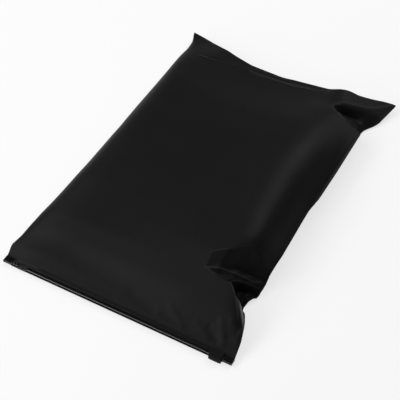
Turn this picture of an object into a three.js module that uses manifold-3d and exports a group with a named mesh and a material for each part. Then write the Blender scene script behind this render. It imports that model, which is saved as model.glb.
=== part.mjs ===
// A filled slider-zip bag of matt black film, lying on its back panel.
// Millimetres, +Z up. X runs along the zip, +Y from the zip to the foot seam.
// The origin lies on the resting surface, under the middle of the bag.
import * as THREE from "three";
import { mergeVertices } from "three/addons/utils/BufferGeometryUtils.js";
import Module from "manifold-3d";

const wasm = await Module();
wasm.setup();

// The bag as it lies, corner to corner
const bagWidth = 300;
const bagLength = 456;
const fillHeight = 58;
const halfWidth = bagWidth / 2;
const halfLength = bagLength / 2;

// Seams: two films welded together, and how high they ride on the filling
const seamThickness = 0.8;
const sideSeamHeight = 15;
const footSeamHeight = 10;
const footMiddleRise = 9;
const footMiddleStart = 20;
const footMiddleRun = 50;

// Ears: how far from a corner a seam has left the floor for its full height
const rightZipEar = 84;
const leftZipEar = 22;
const footEar = 92;

// The side seams stand out as narrow fins that droop outwards
const finWidth = 2.5;
const finDroop = 1.3;
const finRun = 40;

// The filling draws the seams in between the corners: [distance from the zip, draw]
const rightDraw = [
  [0, 0], [28, 2.2], [48, 8.5], [68, 17], [88, 18], [108, 15.5], [148, 16.5], [208, 19.5], [228, 20],
  [250, 17.5], [300, 17.2], [bagLength - 84, 17.5], [bagLength - 48, 10], [bagLength, 0],
];
const leftDraw = [
  [0, 0], [10, 0], [40, 3], [80, 7], [98, 8], [158, 11], [228, 13.4], [270, 13], [338, 10.5],
  [bagLength - 86, 9.5], [bagLength - 58, 10.5], [bagLength - 38, 10], [bagLength - 18, 6], [bagLength, 0],
];
// The foot seam: [distance from its left corner, draw]
const footDraw = [
  [0, 0], [22, 4.5], [70, 23], [100, 30], [150, 31.5], [165, 29], [190, 26], [bagWidth - 80, 22],
  [bagWidth - 64, 20], [bagWidth - 48, 13], [bagWidth - 20, 4], [bagWidth, 0],
];
// The filling's own right side, which stays straight where the seam swings out to the ears
const fillDraw = [
  [0, 0], [48, 8.5], [72, 17.5], [110, 16], [150, 17], [228, 19.5], [bagLength - 79, 19.5], [bagLength, 0],
];
const drawBend = 5;

// Climb of the top film from each side: [distance, share of the full height]
const leftShoulder = 55;
const leftSquareness = 2.6;
const rightClimb = [[0, 0], [8, 0.36], [15, 0.62], [23, 0.78], [31, 0.885], [39, 0.955], [52, 1]];
const earClimb = [[0, 0], [15, 0.35], [35, 0.75], [55, 0.95], [70, 1]];
const zipClimb = [[0, 0], [4, 0.01], [18, 0.16], [25, 0.21], [42, 0.5], [60, 0.65], [120, 0.85], [230, 1]];
const zipClimbRight = [[0, 0], [4, 0.01], [18, 0.16], [42, 0.5], [60, 0.68], [90, 0.9], [120, 0.98], [150, 1]];
const footClimb = [[0, 0], [28, 0.18], [100, 0.6], [180, 0.92], [240, 1]];
const footClimbRight = [[0, 0], [28, 0.22], [60, 0.5], [90, 0.74], [130, 0.93], [180, 1]];
const sideBend = 5;
const zipBend = 6;
const footBend = 8;
// The right flank is steeper beside the dart: [distance from the zip, stretch]
const flankStretch = [[0, 1], [95, 1], [132, 1.25], [168, 1.08], [228, 1], [bagLength, 1]];
const stretchBend = 8;
const earStart = 50;
const earRun = 45;
const fullStart = -60;
const fullRun = 160;
const flankKeeps = 0.6;

// A wave in the foot seam beside the right corner
const footWaveRise = 7;
const footWaveSetback = 67;
const footWaveHalf = 22;

// Where the folds pull the right seam in: distance from the zip, depth, half length and the share below
const seamNotches = [
  { at: 81, depth: 8, half: 16, below: 1 },
  { at: bagLength - 52, depth: 12, half: 20, below: 0.9 },
];

// The underside rolls in from the seams to the flat patch that the bag rests on
const underRoll = 38;
const underBulge = 4;
const underBulgeDraw = 9;
const underFall = 2;
const underFallAtZip = 6;
const earlyFallEnd = 15;
const earlyFallRun = 30;

// Zip: two strips with a head and a flange, locked by a rib in a groove
const headDepth = 5;
const upperHeadThickness = 1.5;
const lowerHeadThickness = 2.2;
const headBevel = 0.6;
const flangeThickness = 0.4;
const flangeReach = 12;
const grooveWidth = 3.5;
const closureGap = 0.3;
const ribDepth = 1.2;
const ribStem = 0.6;
const ribBarb = 1.1;
const ribSetback = 2.4;
const filmLip = 0.4;
const fitClearance = 0.25;

// Ends of the zip: fused flat by the side welds, then a crushed rest for the slider
const fusedLength = 11;
const fusedThickness = 1.2;
const sideWeld = 10;
const restSetback = 20;
const restLength = 12;
const restCrush = 0.35;

// Slider: one moulded channel that straddles the closed zip
const sliderLength = 15;
const sliderWall = 1.2;
const sliderSpine = 2.2;
const sliderHook = 2.3;
const sliderChamfer = 0.8;
const sliderSoftening = 0.4;
const slideClearance = 0.3;
const sliderStopGap = 1.5;
const floorGap = 0.3;
const gripRibs = 5;
const gripRibRadius = 0.55;
const gripRibPitch = 2.1;

// Grid of the top film: fine over the folds, coarse elsewhere
const fineStep = 4;
const coarseStep = 14;
const fineBand = 25;
const zipFoldBand = 145;
const rightFoldBand = 92;
const underRings = 6;

const lipHeight = closureGap / 2 + flangeThickness + fitClearance + filmLip;
const channelDrop = closureGap / 2 + lowerHeadThickness + slideClearance;
const closureHeight = floorGap + sliderWall + channelDrop;
const filmStart = headDepth + grooveWidth;

// Folds of the top film, where the filling stops short of the right-hand corners: flat facets between
// named places. A place is [in from the right, up from the zip] or [in from the right, down from the foot],
// then the film's height there, which is left out where the fold leaves the film as it is.
const nearDart = {
  crestLeft: [79, 100], crestMid: [62, 112], crestRight: [44, 130], corner: [15, 126],
  lightLeft: [79, 83], lightFoot: [63, 92, 40.5], valleyMid: [42, 103, 27], valleyRight: [26, 110.5, 15],
  ridgeLeft: [77, 79], ridgeMid: [59, 88.5, 40], ridgeLow: [38, 95, 29], ridgeEnd: [21, 106, 15],
  ridgeOut: [13, 109, 12], pleat: [50.5, 84, 34], lipLeft: [74, 76], lipMid: [46, 76], apex: [41.5, 77.5],
  hemMid: [31, 91, 23], hemEnd: [20, 102, 12], hemOut: [13, 104, 10],
  pitTop: [37, 81, 13], pitMid: [28, 88, 8], pitOut: [13, 99, 6], pitLow: [26, 71, 6], lowOut: [10, 67, 5],
  edgeTop: [28.5, 63], edgeMid: [18, 53.5], edgeEnd: [7, 43],
};
const nearFacets = [
  "crestLeft crestMid lightFoot", "crestMid valleyMid lightFoot", "crestMid crestRight valleyMid",
  "crestRight corner valleyRight", "crestRight valleyRight valleyMid", "crestLeft lightFoot lightLeft",
  "lightLeft lightFoot ridgeLeft", "ridgeLeft lightFoot ridgeMid", "lightFoot valleyMid ridgeMid",
  "valleyMid ridgeLow ridgeMid", "valleyMid valleyRight ridgeLow", "valleyRight ridgeEnd ridgeLow",
  "corner ridgeEnd valleyRight", "corner ridgeOut ridgeEnd", "ridgeLeft ridgeMid pleat", "ridgeMid ridgeLow pleat",
  "ridgeLeft pleat lipLeft", "lipLeft pleat lipMid", "pleat apex lipMid", "ridgeLow hemMid pleat",
  "pleat hemMid apex", "ridgeLow ridgeEnd hemMid", "ridgeEnd hemEnd hemMid", "ridgeEnd ridgeOut hemEnd",
  "ridgeOut hemOut hemEnd", "apex hemMid pitTop", "hemMid pitMid pitTop", "hemMid hemEnd pitMid",
  "hemEnd pitOut pitMid", "hemEnd hemOut pitOut", "pitTop pitMid pitLow", "pitMid pitOut lowOut",
  "pitMid lowOut pitLow", "apex pitTop edgeTop", "pitTop pitLow edgeTop", "pitLow lowOut edgeTop",
  "edgeTop lowOut edgeMid", "edgeMid lowOut edgeEnd",
];
const farEar = {
  tip: [65, 59], ridgeA: [58, 68], ridgeB: [43, 77], ridgeC: [23, 79], lowOut: [14, 79],
  coreA: [53.5, 57.5, 15], coreB: [41, 52, 8], coreC: [28, 48, 6],
  footA: [54, 54, 18], footB: [40, 48, 12], footC: [26, 43, 8],
  rollA: [55, 49, 25], rollB: [38, 39, 20], rollC: [23, 32, 15], rollD: [5, 30, 9],
  outA: [66, 6], outB: [42, 2], outC: [-2, -6], outD: [-4, 23, 8],
};
const farFacets = [
  "tip footA coreA", "tip rollA footA", "coreA footA footB", "coreA footB coreB", "coreB footB footC",
  "coreB footC coreC", "footA rollA rollB", "footA rollB footB", "footB rollB rollC", "footB rollC footC",
  "footC rollC rollD", "coreC footC rollD", "tip outA rollA", "rollA outA rollB", "outA outB rollB",
  "rollB outB rollC", "outB outC rollC", "rollC outC rollD", "rollD outC outD", "tip coreA ridgeA",
  "ridgeA coreA coreB", "ridgeA coreB ridgeB", "ridgeB coreB coreC", "ridgeB coreC ridgeC",
  "ridgeC coreC lowOut", "coreC rollD lowOut",
];
const creaseRadius = 1.3;
const foldFloor = 4;
const creaseSamples = 8;

// The long soft hollow between the zip and the filling
const sagDepth = 2;
const sagHalf = 20;
const sagFrom = [245, 30];
const sagTo = [85, 34];

const filmFinish = { color: 0x1c1c1c, roughness: 0.55, metalness: 0 };
const zipFinish = { color: 0x141414, roughness: 0.25, metalness: 0 };
const sliderFinish = { color: 0x161616, roughness: 0.35, metalness: 0 };

const clamp01 = (value) => Math.min(1, Math.max(0, value));
const ease = (value) => THREE.MathUtils.smoothstep(value, 0, 1);
const mix = THREE.MathUtils.lerp;

// Solids

function toSolid(geometry) {
  const bare = geometry.clone();
  bare.deleteAttribute("normal");
  bare.deleteAttribute("uv");
  const merged = mergeVertices(bare, 1e-4);
  return new wasm.Manifold(
    new wasm.Mesh({
      numProp: 3,
      vertProperties: new Float32Array(merged.attributes.position.array),
      triVerts: new Uint32Array(merged.index.array),
    }),
  );
}

function toGeometry(solid) {
  const { vertProperties, triVerts } = solid.getMesh();
  const geometry = new THREE.BufferGeometry();
  geometry.setAttribute("position", new THREE.BufferAttribute(vertProperties, 3));
  geometry.setIndex(new THREE.BufferAttribute(triVerts, 1));
  geometry.computeVertexNormals();
  return geometry;
}

function box(from, to) {
  const size = new THREE.Vector3().subVectors(to, from);
  const centre = new THREE.Vector3().addVectors(from, to).multiplyScalar(0.5);
  const geometry = new THREE.BoxGeometry(size.x, size.y, size.z);
  return geometry.translate(centre.x, centre.y, centre.z);
}

// A bar along X, centred on x = 0, of a section given as [y, z] points, with its ends softened if asked
function barAlongX(points, length, softening = 0) {
  const section = new THREE.Shape(points.map(([y, z]) => new THREE.Vector2(y, z)));
  const geometry = new THREE.ExtrudeGeometry(section, {
    depth: length - 2 * softening,
    bevelEnabled: softening > 0,
    bevelThickness: softening,
    bevelSize: softening,
    bevelOffset: -softening,
    bevelSegments: 2,
  });
  geometry.translate(0, 0, softening - length / 2);
  const toRowAxes = new THREE.Matrix4().makeBasis(
    new THREE.Vector3(0, 1, 0),
    new THREE.Vector3(0, 0, 1),
    new THREE.Vector3(1, 0, 0),
  );
  return geometry.applyMatrix4(toRowAxes);
}

function namedMesh(name, geometry, finish) {
  const mesh = new THREE.Mesh(geometry, new THREE.MeshStandardMaterial(finish));
  mesh.name = name;
  return mesh;
}

// Form of the filled bag

const fromZip = (y) => y + halfLength;
const fromFoot = (y) => halfLength - y;
const nearZip = ([inwards, up]) => new THREE.Vector2(halfWidth - inwards, up - halfLength);
const nearFoot = ([inwards, down]) => new THREE.Vector2(halfWidth - inwards, halfLength - down);

// Level at a place along straight runs between bends
function alongBends(bends, value) {
  const next = bends.findIndex(([place]) => place > value);
  if (next === 0) return bends[0][1];
  if (next < 0) return bends.at(-1)[1];
  const [[placeA, levelA], [placeB, levelB]] = [bends[next - 1], bends[next]];
  return mix(levelA, levelB, (value - placeA) / (placeB - placeA));
}

// The same with every bend rounded over a reach, but for the sharp start
function softBends(bends, value, reach) {
  const steps = 4;
  let sum = 0;
  for (let k = -steps; k <= steps; k++) sum += alongBends(bends, value + (reach * k) / steps);
  return mix(alongBends(bends, value), sum / (2 * steps + 1), clamp01(value / reach));
}

// How far the folds pull the right seam in, or how far the underside stays out there
function notchDepth(y, below) {
  return seamNotches.reduce((sum, notch) => {
    const size = below ? notch.depth * notch.below : notch.depth;
    return sum + size * ease(1 - Math.abs(fromZip(y) - notch.at) / notch.half);
  }, 0);
}

const fillEdge = (y) => halfWidth - softBends(fillDraw, fromZip(y), drawBend);
const rightEdge = (y) => halfWidth - softBends(rightDraw, fromZip(y), drawBend) - notchDepth(y, false);
const leftEdge = (y) => softBends(leftDraw, fromZip(y), drawBend) - halfWidth;
const footEdge = (x) => halfLength - softBends(footDraw, x + halfWidth, drawBend);

// Plan position of a point of the flat film, given by its place x, y between the corners
function planPoint(x, y) {
  const start = -halfLength + filmStart;
  const planY = mix(start, footEdge(x), (y - start) / (halfLength - start));
  const across = (x + halfWidth) / bagWidth;
  return new THREE.Vector2(mix(leftEdge(planY), rightEdge(planY), across), planY);
}

// Height of the middle of the seams, carried inwards under the filling
function seamHeight({ x, y }) {
  const zipEar = mix(rightZipEar, leftZipEar, ease(-x / halfWidth));
  const awayFromZip = ease((fromZip(y) - filmStart) / zipEar);
  const awayFromFoot = ease(fromFoot(y) / footEar);
  const offWave = (x - halfWidth + footWaveSetback) / footWaveHalf;
  const wave = footWaveRise * ease(1 - Math.abs(offWave)) * (1 - awayFromFoot);
  const middle = footMiddleRise * ease((halfWidth - Math.abs(x) - footMiddleStart) / footMiddleRun);
  const farPart = mix(footSeamHeight + middle + wave, sideSeamHeight, awayFromFoot);
  return mix(closureHeight, farPart, awayFromZip);
}

// Half the film's thickness at the edge: the zip's lips, then the welded seams
function rimHeight({ y }) {
  return mix(lipHeight, seamThickness / 2, ease((fromZip(y) - filmStart) / flangeReach));
}

// Rounded climb from an edge, as a share of the full height
function shoulder(distance, width, squareness) {
  const left = 1 - clamp01(distance / width);
  return (1 - left ** squareness) ** (1 / squareness);
}

// Share of the full climb at a plan point; the filling reaches further out on the right
function fillShare({ x, y }) {
  const fullness = ease((x - fullStart) / fullRun);
  const inEar = 1 - ease((fromZip(y) - earStart) / earRun);
  const pastLip = Math.max(0, fromZip(y) - filmStart);
  const fromSeam = Math.max(0, footEdge(x) - y);
  const flank = Math.max(0, fillEdge(y) - x - finWidth);
  const stretched = flank * softBends(flankStretch, fromZip(y), stretchBend);
  const left = shoulder(x - leftEdge(y) - finWidth, leftShoulder, leftSquareness);
  const right = mix(softBends(rightClimb, stretched, sideBend), softBends(earClimb, flank, sideBend), inEar);
  const near = mix(softBends(zipClimb, pastLip, zipBend), softBends(zipClimbRight, pastLip, zipBend), fullness);
  const far = mix(softBends(footClimb, fromSeam, footBend), softBends(footClimbRight, fromSeam, footBend), fullness);
  return left * near * mix(right * far, Math.max(0, right + far - 1), flankKeeps);
}

// Corners of a fold's facets, each with the rise from the plain film to the fold
function foldFacets(places, facets, toPlan) {
  const corners = {};
  for (const [name, place] of Object.entries(places)) {
    const point = toPlan(place);
    const height = place[2];
    corners[name] = { point, rise: height === undefined ? 0 : height - plainHeight(point) };
  }
  return facets.map((facet) => facet.split(" ").map((name) => corners[name]));
}

// Rise of the folds at a plan point, with sharp creases
function sharpRise(point, facets) {
  let rise = 0;
  for (const [a, b, c] of facets) {
    const ab = new THREE.Vector2().subVectors(b.point, a.point);
    const ac = new THREE.Vector2().subVectors(c.point, a.point);
    const offset = new THREE.Vector2().subVectors(point, a.point);
    const area = ab.cross(ac);
    const shareB = offset.cross(ac) / area;
    const shareC = ab.cross(offset) / area;
    const shareA = 1 - shareB - shareC;
    if (Math.min(shareA, shareB, shareC) >= 0) rise = a.rise * shareA + b.rise * shareB + c.rise * shareC;
  }
  return rise;
}

// The folds with every crease rounded a little
function foldRise(point, facets) {
  let sum = sharpRise(point, facets);
  for (let k = 0; k < creaseSamples; k++) {
    const turn = (2 * Math.PI * k) / creaseSamples;
    const aside = new THREE.Vector2(Math.cos(turn), Math.sin(turn)).multiplyScalar(creaseRadius);
    sum += sharpRise(aside.add(point), facets);
  }
  return sum / (creaseSamples + 1);
}

function sagAt(point) {
  const run = new THREE.Vector2().subVectors(nearZip(sagTo), nearZip(sagFrom));
  const offset = new THREE.Vector2().subVectors(point, nearZip(sagFrom));
  const along = clamp01(offset.dot(run) / run.lengthSq());
  const distance = offset.sub(run.multiplyScalar(along)).length();
  return sagDepth * ease(1 - distance / sagHalf) * Math.sin(Math.PI * along);
}

// A plain height moved by a fold, which stops short of the floor
function folded(plain, rise, floor) {
  return Math.max(plain + rise, Math.min(plain, floor));
}

// How far the side seams' fins droop at a plan point
function droopAt({ x, y }) {
  const inwards = Math.min(rightEdge(y) - x, x - leftEdge(y));
  const away = ease((fromZip(y) - flangeReach) / finRun) * ease(fromFoot(y) / finRun);
  return finDroop * clamp01(1 - inwards / finWidth) * away;
}

// Height of the top film without the folds
function plainHeight(point) {
  const edge = seamHeight(point) + rimHeight(point);
  const climb = (fillHeight - edge) * fillShare(point);
  return edge - droopAt(point) + Math.max(0, climb - sagAt(point));
}

// Grid lines from one edge to the other, closer together inside the fine ranges
function gridLines(from, to, fineRanges) {
  const lines = [from];
  while (lines.at(-1) < to) {
    const here = lines.at(-1);
    const fine = fineRanges.some(([low, high]) => here >= low && here < high);
    lines.push(here + (fine ? fineStep : coarseStep));
  }
  const scale = (to - from) / (lines.at(-1) - from);
  return lines.map((line) => from + (line - from) * scale);
}

// The film pouch and what it holds, closed and opaque: one solid
function bagBody() {
  const folds = [
    ...foldFacets(nearDart, nearFacets, nearZip),
    ...foldFacets(farEar, farFacets, nearFoot),
  ];
  const topHeight = (point) =>
    folded(plainHeight(point), foldRise(point, folds), foldFloor + 2 * rimHeight(point));
  const columns = gridLines(-halfWidth, halfWidth, [
    [-halfWidth, -halfWidth + fineBand],
    [halfWidth - rightFoldBand, halfWidth],
  ]);
  const start = -halfLength + filmStart;
  const rows = gridLines(start, halfLength, [
    [start, -halfLength + zipFoldBand],
    [halfLength - footEar, halfLength],
  ]);
  const positions = [];
  const triangles = [];
  const addPoint = (x, y, z) => positions.push(x, y, z) / 3 - 1;
  const addQuad = (a, b, c, d) => triangles.push(a, b, c, a, c, d);

  // Top film
  const top = rows.map((y) =>
    columns.map((x) => {
      const point = planPoint(x, y);
      return addPoint(point.x, point.y, topHeight(point));
    }),
  );
  for (let j = 0; j + 1 < rows.length; j++)
    for (let i = 0; i + 1 < columns.length; i++)
      addQuad(top[j][i], top[j][i + 1], top[j + 1][i + 1], top[j + 1][i]);

  // The edge all round, anticlockwise from above: place, top vertex, and the side seam it lies on, if any
  const lastColumn = columns.length - 1;
  const lastRow = rows.length - 1;
  const edgePoint = (i, j, side) => ({ x: columns[i], y: rows[j], vertex: top[j][i], side });
  const edge = [
    ...columns.slice(0, -1).map((_, i) => edgePoint(i, 0, 0)),
    ...rows.slice(0, -1).map((_, j) => edgePoint(lastColumn, j, 1)),
    ...columns.slice(0, -1).map((_, i) => edgePoint(lastColumn - i, lastRow, 0)),
    ...rows.slice(0, -1).map((_, j) => edgePoint(0, lastRow - j, -1)),
  ];

  // Underside: rings from the edge to the flat patch
  const middleY = (start + halfLength) / 2;
  const halfDepth = halfLength - middleY;
  const ring = (share) =>
    edge.map(({ x, y, side }) => {
      const inX = 1 - (share * underRoll) / halfWidth;
      const inY = 1 - (share * underRoll) / halfDepth;
      const point = planPoint(x * inX, middleY + (y - middleY) * inY);
      const rim = planPoint(x, y);
      const drawn = clamp01((halfWidth - Math.abs(rim.x)) / underBulgeDraw);
      const notch = side > 0 ? notchDepth(rim.y, true) * Math.min(1, share * underRings) * (1 - share) : 0;
      const bulge = side * drawn * underBulge * Math.sin(Math.PI * Math.sqrt(share)) + notch;
      const rimPlain = seamHeight(rim) - rimHeight(rim) - droopAt(rim);
      const rimZ = folded(rimPlain, foldRise(rim, folds), foldFloor);
      const fall = mix(underFallAtZip, underFall, ease((fromZip(rim.y) - earlyFallEnd) / earlyFallRun));
      return addPoint(point.x + bulge, point.y, rimZ * (1 - share) ** fall);
    });
  const rings = [edge.map(({ vertex }) => vertex)];
  for (let k = 0; k <= underRings; k++) rings.push(ring(k / underRings));
  for (let k = 0; k + 1 < rings.length; k++)
    rings[k].forEach((vertex, i) => {
      const next = (i + 1) % edge.length;
      addQuad(vertex, rings[k + 1][i], rings[k + 1][next], rings[k][next]);
    });
  const patch = rings.at(-1);
  const patchOutline = patch.map((v) => new THREE.Vector2(positions[3 * v], positions[3 * v + 1]));
  for (const [a, b, c] of THREE.ShapeUtils.triangulateShape(patchOutline, []))
    triangles.push(patch[a], patch[c], patch[b]);

  const pouch = new THREE.BufferGeometry();
  pouch.setAttribute("position", new THREE.Float32BufferAttribute(positions, 3));
  pouch.setIndex(triangles);

  // The mouth between the film's lips, which takes the flanges of the zip
  const mouthHalf = lipHeight - filmLip;
  const mouthReach = halfWidth - sideWeld;
  const mouth = box(
    new THREE.Vector3(-mouthReach, start - filmStart, closureHeight - mouthHalf),
    new THREE.Vector3(mouthReach, start + flangeReach + fitClearance, closureHeight + mouthHalf),
  );
  return namedMesh("bag_body", toGeometry(toSolid(pouch).subtract(toSolid(mouth))), filmFinish);
}

// Zip. In these sections y = 0 is the zip's outer edge and z = 0 the plane where the strips meet.

function headSection(thickness, lockingSide) {
  const face = closureGap / 2;
  const back = face + thickness;
  return [
    [0, face + headBevel],
    [0, back - headBevel],
    [headBevel, back],
    [headDepth - headBevel, back],
    [headDepth, back - headBevel],
    [headDepth, face],
    ...lockingSide,
    [headBevel, face],
  ];
}

// Flange, fused ends and slider rests that both strips have, on the strip's own head
function zipStrip(name, thickness, lockingSide, below) {
  const flip = below ? -1 : 1;
  const face = closureGap / 2;
  const back = face + thickness;
  const slab = ([x0, x1], [y0, y1], [z0, z1]) =>
    toSolid(box(
      new THREE.Vector3(Math.min(x0, x1), y0, Math.min(flip * z0, flip * z1)),
      new THREE.Vector3(Math.max(x0, x1), y1, Math.max(flip * z0, flip * z1)),
    ));
  const section = headSection(thickness, lockingSide).map(([y, z]) => [y, flip * z]);
  let strip = toSolid(barAlongX(below ? section : section.reverse(), bagWidth));
  const flangeHalf = halfWidth - sideWeld - fitClearance;
  const flangeEnd = filmStart + flangeReach;
  const flangeDepth = [headDepth - headBevel, flangeEnd];
  strip = strip.add(slab([-flangeHalf, flangeHalf], flangeDepth, [face, face + flangeThickness]));
  const wholeHead = [-headDepth, 2 * headDepth];
  for (const side of [-1, 1]) {
    const end = side * halfWidth;
    const fusedStart = side * (halfWidth - fusedLength);
    const crushed = face + fusedThickness;
    const lockEnd = fusedStart - side * fitClearance;
    strip = strip.subtract(slab([lockEnd, 2 * end], wholeHead, [-back, face]));
    strip = strip.subtract(slab([fusedStart, 2 * end], wholeHead, [crushed, 2 * back]));
    strip = strip.add(slab([fusedStart, end], [0, filmStart - fitClearance], [face, crushed]));
    const restStart = side * (halfWidth - restSetback);
    const restEnd = restStart - side * restLength;
    strip = strip.subtract(slab([restStart, restEnd], wholeHead, [back - restCrush, 2 * back]));
  }
  return namedMesh(name, toGeometry(strip), zipFinish);
}

// Upper strip: a barbed rib that stands into the lower strip's groove
function upperStrip() {
  const face = closureGap / 2;
  const tip = face - ribDepth - closureGap;
  const rib = [
    [ribSetback + ribStem / 2, face],
    [ribSetback + ribStem / 2, tip + ribBarb / 2],
    [ribSetback + ribBarb / 2, tip + ribBarb / 2],
    [ribSetback + ribStem / 4, tip],
    [ribSetback - ribStem / 4, tip],
    [ribSetback - ribBarb / 2, tip + ribBarb / 2],
    [ribSetback - ribStem / 2, tip + ribBarb / 2],
    [ribSetback - ribStem / 2, face],
  ];
  return zipStrip("zip_rib_strip", upperHeadThickness, rib, false);
}

// Lower strip: a groove with jaws that close behind the rib's barb
function lowerStrip() {
  const face = closureGap / 2;
  const floor = face + ribDepth + closureGap;
  const throat = ribStem / 2 + fitClearance;
  const chamber = ribBarb / 2 + fitClearance;
  const jaw = face + flangeThickness / 2;
  const groove = [
    [ribSetback + throat, face],
    [ribSetback + throat, jaw],
    [ribSetback + chamber, jaw + fitClearance],
    [ribSetback + chamber, floor],
    [ribSetback - chamber, floor],
    [ribSetback - chamber, jaw + fitClearance],
    [ribSetback - throat, jaw],
    [ribSetback - throat, face],
  ];
  return zipStrip("zip_groove_strip", lowerHeadThickness, groove, true);
}

// Slider, centred on its own length
function slider() {
  const channelTop = closureGap / 2 + upperHeadThickness + slideClearance;
  const top = channelTop + sliderWall;
  const bottom = -channelDrop - sliderWall;
  const front = -slideClearance - sliderSpine;
  const channelEnd = headDepth + slideClearance;
  const back = channelEnd + sliderHook;
  const throat = closureGap / 2 + flangeThickness + slideClearance;
  const section = [
    [front + sliderChamfer, bottom],
    [back, bottom],
    [back, -throat],
    [channelEnd, -throat],
    [channelEnd, -channelDrop],
    [-slideClearance, -channelDrop],
    [-slideClearance, channelTop],
    [channelEnd, channelTop],
    [channelEnd, throat],
    [back, throat],
    [back, top],
    [front + sliderChamfer, top],
    [front, top - sliderChamfer],
    [front, bottom + sliderChamfer],
  ];
  let body = toSolid(barAlongX(section, sliderLength, sliderSoftening));
  // Upright grip ribs along the spine
  for (let k = 0; k < gripRibs; k++) {
    const height = top - bottom - 2 * sliderChamfer;
    const rib = new THREE.CylinderGeometry(gripRibRadius, gripRibRadius, height, 10);
    rib.rotateX(Math.PI / 2);
    rib.translate((k - (gripRibs - 1) / 2) * gripRibPitch, front, (top + bottom) / 2);
    body = body.add(toSolid(rib));
  }
  const mesh = namedMesh("slider", toGeometry(body), sliderFinish);
  mesh.position.x = halfWidth - fusedLength - sliderStopGap - sliderLength / 2;
  return mesh;
}

const zip = new THREE.Group();
zip.position.set(0, -halfLength, closureHeight);
zip.add(upperStrip(), lowerStrip(), slider());

const bag = new THREE.Group();
bag.add(bagBody(), zip);

export default bag;
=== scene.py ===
"""A filled slider bag of matt black film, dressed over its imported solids. Metres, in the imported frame."""
import math

import bmesh
import bpy
import numpy as np
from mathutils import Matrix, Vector


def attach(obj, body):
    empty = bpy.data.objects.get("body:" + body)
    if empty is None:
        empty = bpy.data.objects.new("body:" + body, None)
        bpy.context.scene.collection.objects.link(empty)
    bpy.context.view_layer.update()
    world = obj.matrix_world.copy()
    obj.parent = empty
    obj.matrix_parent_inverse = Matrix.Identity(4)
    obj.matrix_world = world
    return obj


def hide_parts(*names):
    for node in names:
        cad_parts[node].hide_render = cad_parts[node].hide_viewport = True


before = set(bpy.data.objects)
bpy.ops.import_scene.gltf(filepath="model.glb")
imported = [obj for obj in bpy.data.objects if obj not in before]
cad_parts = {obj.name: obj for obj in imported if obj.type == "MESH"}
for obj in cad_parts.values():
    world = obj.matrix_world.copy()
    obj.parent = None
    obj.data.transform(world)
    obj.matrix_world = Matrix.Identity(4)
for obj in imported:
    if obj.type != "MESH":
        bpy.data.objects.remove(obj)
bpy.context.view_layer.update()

MM = 0.001
# Places nearer than this count as one
CLOSE = 0.01

# The bag as it lies, in millimetres, corner to corner
BAG_WIDTH = 300
BAG_LENGTH = 456
FILL_HEIGHT = 58
HALF_WIDTH = BAG_WIDTH / 2
HALF_LENGTH = BAG_LENGTH / 2

# Seams and the closure's band; a step is the place where a change starts and the run it takes
SEAM_THICKNESS = 0.8
SIDE_SEAM_HEIGHT = 15
RIGHT_SEAM_RISE = 7
FOOT_SEAM_HEIGHT = 10
FOOT_MIDDLE_RISE = 9
FOOT_MIDDLE_STEP = (20, 50)
CLOSURE_HEIGHT = 4.15
LIP_HEIGHT = 1.2
FILM_START = 8.5
FLANGE_REACH = 12

# Where the right seam rides up on the filling: steps from the middle, the zip and the foot
LIFT_FROM_MIDDLE = (40, 80)
LIFT_FROM_ZIP = (105, 40)
LIFT_FROM_FOOT = (45, 35)

# How far the filling draws the seams in between the corners, by the distance from the zip
RIGHT_DRAW = [
    (0, 0), (28, 2.2), (48, 8), (68, 14.5), (88, 17.5), (108, 15.7), (148, 13.8), (208, 16.3), (228, 17),
    (250, 14.4), (300, 14.2), (372, 15.3), (408, 11.5), (456, 0),
]
LEFT_DRAW = [
    (0, 0), (10, 0), (40, 3.8), (80, 9), (98, 10.7), (118, 12.1), (158, 14.4), (228, 16.5), (270, 15.7),
    (338, 13.3), (358, 12.3), (370, 11.5), (398, 9.8), (418, 9.8), (438, 7.7), (456, 0),
]
# The same for the foot seam, by the distance from its left corner
FOOT_DRAW = [
    (0, 0), (22, 4.5), (46, 15.8), (70, 23.5), (100, 30), (150, 31.5), (165, 29), (190, 26), (220, 22),
    (236, 20), (252, 13), (280, 2.2), (300, 0),
]
# The filling's own right side, which stays straight where the seam swings out to the ears
FILL_DRAW = [(0, 0), (48, 8.5), (72, 17.5), (110, 15.5), (150, 14), (228, 16.5), (377, 16), (456, 0)]
DRAW_SOFTNESS = 5
RIGHT_ZIP_EAR = 84
LEFT_ZIP_EAR = 12
FOOT_EAR = 92

# Climb of the top film from the left side: its width and how square its shoulder is
LEFT_SHOULDER = (55, 2.6)

# The welded seam stands out as a narrow fin that droops outward
FIN_WIDTH = 1
FIN_DROOP = 0.5
FIN_RUN = 40

# Climb from the other three sides: distances and shares of the full height, joined by soft bends
RIGHT_CLIMB = [(0, 0), (9, 0.335), (18, 0.61), (26, 0.79), (32, 0.889), (38, 0.95), (46, 0.989), (54, 1)]
ZIP_CLIMB = [(0, 0), (4, 0.01), (18, 0.16), (25, 0.21), (42, 0.5), (60, 0.65), (120, 0.85), (230, 1)]
ZIP_CLIMB_RIGHT = [(0, 0), (4, 0.01), (18, 0.16), (42, 0.5), (60, 0.68), (90, 0.9), (120, 0.98), (150, 1)]
FOOT_CLIMB = [(0, 0), (28, 0.18), (100, 0.6), (180, 0.92), (240, 1)]
FOOT_CLIMB_RIGHT = [(0, 0), (28, 0.23), (60, 0.47), (95, 0.7), (140, 0.91), (190, 1)]
EAR_CLIMB = [(0, 0), (4, 0.56), (8, 0.86), (14, 0.97), (22, 1)]
# Reach over which the bends of each climb are rounded
RIGHT_SOFTNESS = 5
ZIP_SOFTNESS = 6
FOOT_SOFTNESS = 8
EAR_SOFTNESS = 3
STRETCH_SOFTNESS = 8
SOFT_SAMPLES = 9
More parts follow.
